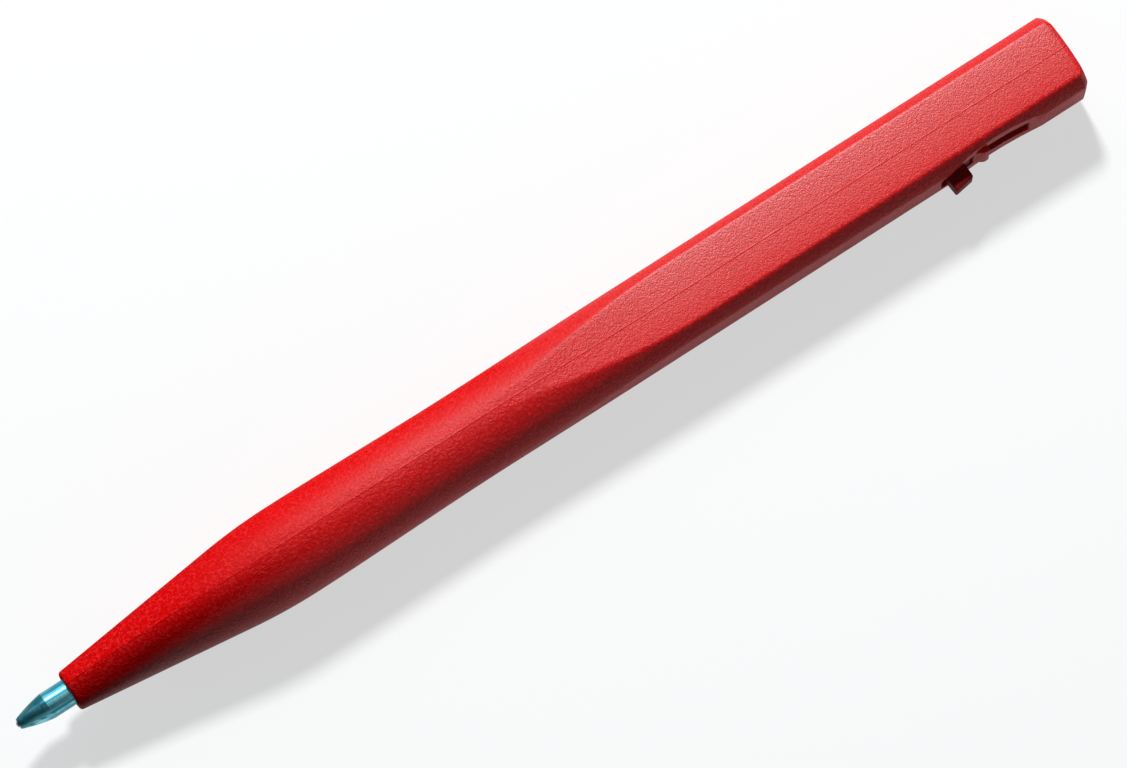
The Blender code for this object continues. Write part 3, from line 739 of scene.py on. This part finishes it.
class Nodes:
    """Short calls for building one material's nodes."""

    def __init__(self, name):
        self.material = bpy.data.materials.new(name)
        self.material.use_nodes = True
        self.tree = self.material.node_tree
        self.shader = self.tree.nodes["Principled BSDF"]
        where = self.add("ShaderNodeTexCoord")
        self.place = where.outputs["Object"]
        self.facing = where.outputs["Normal"]

    def add(self, kind, **settings):
        node = self.tree.nodes.new(kind)
        for key, value in settings.items():
            setattr(node, key, value)
        return node

    def link(self, output, socket):
        self.tree.links.new(output, socket)

    def set(self, **values):
        for key, value in values.items():
            self.shader.inputs[key.replace("_", " ")].default_value = value

    def stretched(self, scale):
        node = self.add("ShaderNodeMapping")
        node.inputs["Scale"].default_value = scale
        self.link(self.place, node.inputs["Vector"])
        return node.outputs["Vector"]

    def noise(self, scale, detail, roughness, where=None):
        node = self.add("ShaderNodeTexNoise")
        node.inputs["Scale"].default_value = scale
        node.inputs["Detail"].default_value = detail
        node.inputs["Roughness"].default_value = roughness
        self.link(self.place if where is None else where, node.inputs["Vector"])
        return node.outputs["Fac"]

    def cells(self, scale):
        node = self.add("ShaderNodeTexVoronoi")
        node.inputs["Scale"].default_value = scale
        self.link(self.place, node.inputs["Vector"])
        return node.outputs["Distance"]

    def ranged(self, value, span, to=RISE):
        """Ramp from one value to another over a span, and level outside it."""
        node = self.add("ShaderNodeMapRange")
        for key, pair in (("From", span), ("To", to)):
            node.inputs[key + " Min"].default_value = pair[0]
            node.inputs[key + " Max"].default_value = pair[1]
        self.link(value, node.inputs["Value"])
        return node.outputs["Result"]

    def remainder(self, share):
        """One less a share between -1 and 1."""
        return self.ranged(share, (-1.0, 1.0), (2.0, 0.0))

    def mixed(self, share, first, second):
        """Colour mix. Each side is a colour or another node's output."""
        node = self.add("ShaderNodeMix", data_type="RGBA")
        self.link(share, node.inputs[0])
        for side, socket in ((first, node.inputs[6]), (second, node.inputs[7])):
            if isinstance(side, tuple):
                socket.default_value = (*side, 1.0)
            else:
                self.link(side, socket)
        return node.outputs[2]

    def sum(self, first, second, share=1.0):
        """The first value and a share of the second."""
        node = self.add("ShaderNodeMath", operation="MULTIPLY_ADD")
        self.link(second, node.inputs[0])
        node.inputs[1].default_value = share
        self.link(first, node.inputs[2])
        return node.outputs[0]

    def product(self, first, second):
        node = self.add("ShaderNodeMath", operation="MULTIPLY")
        self.link(first, node.inputs[0])
        self.link(second, node.inputs[1])
        return node.outputs[0]

    def unsigned(self, value):
        node = self.add("ShaderNodeMath", operation="ABSOLUTE")
        self.link(value, node.inputs[0])
        return node.outputs[0]

    def parts(self, vector):
        node = self.add("ShaderNodeSeparateXYZ")
        self.link(vector, node.inputs[0])
        return node.outputs

    def bump(self, height, distance):
        node = self.add("ShaderNodeBump")
        node.inputs["Strength"].default_value = 1.0
        node.inputs["Distance"].default_value = distance
        self.link(height, node.inputs["Height"])
        self.link(node.outputs["Normal"], self.shader.inputs["Normal"])

    def colour(self, output):
        self.link(output, self.shader.inputs["Base Color"])

    def rough(self, output):
        self.link(output, self.shader.inputs["Roughness"])


def shaded(colour, share):
    return tuple(share * part for part in colour)


def from_axis(span):
    """A span of Y for one that is measured from the pen's axis."""
    return AXIS.y + span[0], AXIS.y + span[1]


def moulded_plastic(name, base, deep, pale, grain, shine=1.0):
    """Spark-eroded plastic with fine grain and small pits.

    It is dull on the taper, except far down on the trigger side, and satin on the rear flats.
    """
    nodes = Nodes(name)
    fine = nodes.noise(*FINE_GRAIN)
    coarse = nodes.noise(*COARSE_GRAIN)
    patches = nodes.noise(*PATCHES)
    pits = nodes.cells(PIT_SCALE)
    position = nodes.parts(nodes.place)

    def lengthwise(span, to):
        return nodes.ranged(position["X"], span, to)

    def across(span, to):
        return nodes.ranged(position["Y"], from_axis(span), to)

    darkening = nodes.sum(lengthwise(NOSE_DARKER_X, (NOSE_DARKER_MOST, 0.0)), nodes.ranged(patches, PATCH_SPAN),
                     PATCHES_DARKER)
    colour = nodes.mixed(darkening, base, deep)
    # Pale speckle: grain tone, partly painted glints of the grain
    speckle = nodes.sum(nodes.ranged(fine, GRAIN_SPAN, (0.0, SPECKLE_FINE)),
                        nodes.ranged(coarse, GRAIN_SPAN), SPECKLE_COARSE)
    colour = nodes.mixed(nodes.ranged(speckle, SPECKLE_SPAN, (0.0, SPECKLE_MOST)), colour, pale)
    colour = nodes.mixed(nodes.ranged(pits, PIT_SPAN, (PIT_MOST, 0.0)), colour, deep)
    # Painted shade: the taper's colour darkens towards the trigger side, where shade falls
    painted_shade = nodes.product(lengthwise(PAINTED_SHADE_X, (PAINTED_SHADE_MOST, 0.0)), across(PAINTED_SHADE_Y, FALL))
    nodes.colour(nodes.mixed(painted_shade, colour, shaded(deep, PAINTED_SHADE_DEPTH)))

    upright = nodes.unsigned(nodes.parts(nodes.facing)["Z"])
    flat = nodes.product(lengthwise(FLAT_X, RISE), nodes.ranged(upright, FLAT_FACING))
    gloss = lengthwise(GLOSS_X, (0.0, GLOSS_MOST * shine))
    rim = nodes.product(lengthwise(RIM_X, FALL), across(RIM_Y, RIM_LOSS))
    gloss = nodes.product(gloss, nodes.remainder(rim))
    under = nodes.product(lengthwise(UNDER_X, (UNDER_GLOSS * shine, 0.0)), across(UNDER_Y, FALL))
    gloss = nodes.sum(gloss, under)
    satin = nodes.product(flat, across(SATIN_Y, SATIN_GLOSS))
    nodes.link(nodes.sum(gloss, satin, shine), nodes.shader.inputs["Specular IOR Level"])
    nodes.rough(nodes.sum(nodes.ranged(fine, GRAIN_SPAN, PLASTIC_ROUGH), flat, -FLAT_POLISH))

    waves = nodes.product(nodes.ranged(coarse, RISE, CENTRED),
                          nodes.ranged(flat, RISE, WAVES_ROUND_TO_FLAT))
    nodes.bump(nodes.sum(fine, waves), grain)
    nodes.set(IOR=PLASTIC_IOR, Specular_IOR_Level=MEAN_GLOSS * shine)
    return nodes.material


def turned_metal(name, bright, dark, rough, cone_shade_to=None):
    """Bright drawn metal with streaks along it, finer lines round it and slight tarnish.

    Up to the place given, it is darker: painted shade for the cone's dark reflection, except
    towards the trigger side.
    """
    nodes = Nodes(name)
    lines = nodes.noise(*METAL_NOISE, nodes.stretched(LINE_STRETCH))
    streaks = nodes.noise(*METAL_NOISE, nodes.stretched(STREAK_STRETCH))
    tarnish = nodes.noise(*TARNISH)
    colour = nodes.mixed(nodes.ranged(streaks, STREAK_SPAN), bright, dark)
    colour = nodes.mixed(nodes.ranged(tarnish, TARNISH_SPAN, (0.0, TARNISH_MOST)), colour, dark)
    # Painted shade: the cone is darker, for its dark reflection, except towards the trigger side
    if cone_shade_to is not None:
        position = nodes.parts(nodes.place)
        edge = (cone_shade_to - CONE_SHADE_EDGE, cone_shade_to + CONE_SHADE_EDGE)
        cone_shade = nodes.product(nodes.ranged(position["X"], edge, (CONE_SHADE_MOST, 0.0)),
                               nodes.ranged(position["Y"], from_axis(CONE_SHADE_Y)))
        colour = nodes.mixed(cone_shade, colour, shaded(dark, CONE_SHADE_DEPTH))
    nodes.colour(colour)
    nodes.rough(nodes.ranged(lines, GRAIN_SPAN, rough))
    nodes.bump(nodes.sum(lines, streaks, STREAK_RELIEF), METAL_RELIEF)
    nodes.set(Metallic=1.0)
    return nodes.material


def clear_plastic(name, base, deep, transmission):
    """Extruded tube plastic, slightly cloudy, with faint draw lines along it."""
    nodes = Nodes(name)
    cloud = nodes.noise(*CLOUD)
    draw = nodes.noise(*DRAW_NOISE, nodes.stretched(DRAW_STRETCH))
    nodes.colour(nodes.mixed(nodes.ranged(cloud, GRAIN_SPAN), base, deep))
    nodes.rough(nodes.ranged(draw, GRAIN_SPAN, CLEAR_ROUGH))
    nodes.bump(draw, CLEAR_RELIEF)
    nodes.set(IOR=PLASTIC_IOR, Transmission_Weight=transmission)
    return nodes.material


def dress():
    """Every visible piece and its material."""
    red = moulded_plastic("moulded_red", base=(0.69, 0.0025, 0.0035), deep=(0.52, 0.0015, 0.002),
                          pale=(0.76, 0.024, 0.025), grain=0.070 * MM)
    # Painted shade: the trigger is a darker copy of the barrel's red, for the shade the barrel
    # casts on the button
    trigger_painted_shade = moulded_plastic("trigger_red_painted_shade", base=(0.27, 0.005, 0.006),
                              deep=(0.17, 0.003, 0.004), pale=(0.33, 0.016, 0.016),
                              grain=0.05 * MM, shine=0.2)
    inner = moulded_plastic("moulded_inner_red", base=(0.60, 0.010, 0.014),
                            deep=(0.48, 0.007, 0.009), pale=(0.64, 0.018, 0.022),
                            grain=0.03 * MM)
    # The point's teal tint is painted reflection of teal surroundings, and its bright and dark
    # streaks are partly painted reflection
    point = turned_metal("point_nickel", bright=(0.30, 0.74, 0.82), dark=(0.03, 0.26, 0.34),
                         rough=(0.42, 0.54), cone_shade_to=along(BALL_SHOWS - POINT_OUT + CONE_LENGTH))
    ball = turned_metal("ball_carbide", bright=(0.36, 0.37, 0.38), dark=(0.24, 0.25, 0.26),
                        rough=(0.06, 0.14))
    wire = turned_metal("spring_wire", bright=(0.52, 0.54, 0.55), dark=(0.38, 0.40, 0.41),
                        rough=(0.22, 0.36))
    tube = clear_plastic("tube_natural", base=(0.80, 0.80, 0.76), deep=(0.72, 0.73, 0.70),
                         transmission=0.35)
    ink = clear_plastic("ink_blue", base=(0.010, 0.030, 0.25), deep=(0.006, 0.020, 0.18),
                        transmission=0.0)

    piece("barrel_moulding", barrel_mesh(), "barrel", "barrel", red)
    piece("end_cap", plug_mesh(), "barrel", "end_plug", red)
    piece("trigger_moulding", trigger_mesh(), "trigger", "trigger", trigger_painted_shade)
    piece("metal_point", point_mesh(), "refill_carriage", "refill_point", point)
    piece("writing_ball", ball_mesh(), "ball", "point_ball", ball)
    piece("wire_spring", spring_mesh(), "barrel", "return_spring", wire)
    for node, material in (("carriage", inner), ("refill_tube", tube), ("ink", ink)):
        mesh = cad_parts[node].data
        for i in range(len(mesh.materials)):
            mesh.materials[i] = material


def floor_material():
    """Pale floor that keeps the shadow.

    It is white to the camera and to reflections, and throws less light on the pen than that.
    """
    nodes = Nodes("floor_white")
    nodes.set(Base_Color=FLOOR_BOUNCE, Roughness=FLOOR_ROUGH, Specular_IOR_Level=FLOOR_GLOSS)
    paper = nodes.add("ShaderNodeBsdfDiffuse")
    paper.inputs["Color"].default_value = FLOOR_PAPER
    white = nodes.add("ShaderNodeEmission")
    white.inputs["Strength"].default_value = 1.0
    seen = nodes.add("ShaderNodeMixShader")
    seen.inputs[0].default_value = FLOOR_SHADOW
    nodes.link(white.outputs[0], seen.inputs[1])
    nodes.link(paper.outputs[0], seen.inputs[2])
    path = nodes.add("ShaderNodeLightPath")
    direct = path.outputs["Is Camera Ray"]
    for ray in ("Is Glossy Ray", "Is Transmission Ray"):
        either = nodes.add("ShaderNodeMath", operation="MAXIMUM")
        nodes.link(direct, either.inputs[0])
        nodes.link(path.outputs[ray], either.inputs[1])
        direct = either.outputs[0]
    both = nodes.add("ShaderNodeMixShader")
    nodes.link(direct, both.inputs[0])
    nodes.link(nodes.shader.outputs[0], both.inputs[1])
    nodes.link(seen.outputs[0], both.inputs[2])
    nodes.link(both.outputs[0], nodes.tree.nodes["Material Output"].inputs["Surface"])
    return nodes.material


def studio_world():
    """A dim room with a pale wall on the lit side, which the metal shows.

    A weaker one lies on the shaded side.
    """
    world = bpy.data.worlds.new("studio")
    world.use_nodes = True
    tree = world.node_tree
    where = tree.nodes.new("ShaderNodeTexCoord")
    around = None
    for direction, cosines, colour in (LIT_WALL, SHADE_WALL):
        towards = tree.nodes.new("ShaderNodeVectorMath")
        towards.operation = "DOT_PRODUCT"
        towards.inputs[1].default_value = direction.normalized()
        tree.links.new(where.outputs["Generated"], towards.inputs[0])
        pale = tree.nodes.new("ShaderNodeMapRange")
        pale.interpolation_type = "SMOOTHSTEP"
        pale.inputs["From Min"].default_value = cosines[0]
        pale.inputs["From Max"].default_value = cosines[1]
        tree.links.new(towards.outputs["Value"], pale.inputs["Value"])
        tint = tree.nodes.new("ShaderNodeMix")
        tint.data_type = "RGBA"
        tint.inputs[6].default_value = ROOM_COLOUR
        tint.inputs[7].default_value = colour
        tree.links.new(pale.outputs["Result"], tint.inputs[0])
        if around is not None:
            tree.links.new(around, tint.inputs[6])
        around = tint.outputs[2]
    tree.links.new(around, tree.nodes["Background"].inputs["Color"])
    return world


def floor_and_light():
    bm = bmesh.new()
    bmesh.ops.create_grid(bm, x_segments=1, y_segments=1, size=FLOOR_SIZE)
    floor = helper("floor", mesh_from("floor", bm))
    floor.data.materials.append(floor_material())

    bpy.context.scene.world = studio_world()

    lamp = bpy.data.lights.new("key", "AREA")
    lamp.shape = "DISK"
    lamp.size = KEY_SIZE
    lamp.energy = KEY_POWER
    thing = bpy.data.objects.new("key", lamp)
    thing.location = AXIS + KEY_OFFSET
    thing.rotation_euler = KEY_OFFSET.to_track_quat("Z", "Y").to_euler()
    bpy.context.scene.collection.objects.link(thing)


def camera():
    """The photograph's view: from above, a little from the trigger side and the writing point."""
    towards = Vector((-math.sin(VIEW_TILT), -math.cos(VIEW_TILT) * math.sin(VIEW_ROLL),
                      math.cos(VIEW_TILT) * math.cos(VIEW_ROLL)))
    lengthwise = Vector((1.0, 0.0, 0.0))
    lengthwise = (lengthwise - towards * lengthwise.dot(towards)).normalized()
    across = towards.cross(lengthwise)
    if across.y > 0:
        across = -across
    right = lengthwise * math.cos(AXIS_SLOPE) + across * math.sin(AXIS_SLOPE)
    up = lengthwise * math.sin(AXIS_SLOPE) - across * math.cos(AXIS_SLOPE)
    aim = AXIS + lengthwise * AIM_ALONG + across * AIM_ACROSS

    data = bpy.data.cameras.new("camera")
    data.sensor_fit = "HORIZONTAL"
    data.sensor_width = SENSOR
    data.lens = SENSOR * VIEW_DISTANCE / (IMAGE_WIDTH * METRES_PER_PIXEL)
    data.clip_start = CLIP_START
    data.clip_end = CLIP_END
    thing = bpy.data.objects.new("camera", data)
    turn = Matrix((right, up, towards)).transposed().to_4x4()
    thing.matrix_world = Matrix.Translation(aim + towards * VIEW_DISTANCE) @ turn
    bpy.context.scene.collection.objects.link(thing)
    bpy.context.scene.camera = thing


dress()
floor_and_light()
camera()
bpy.context.scene.view_settings.view_transform = "Standard"
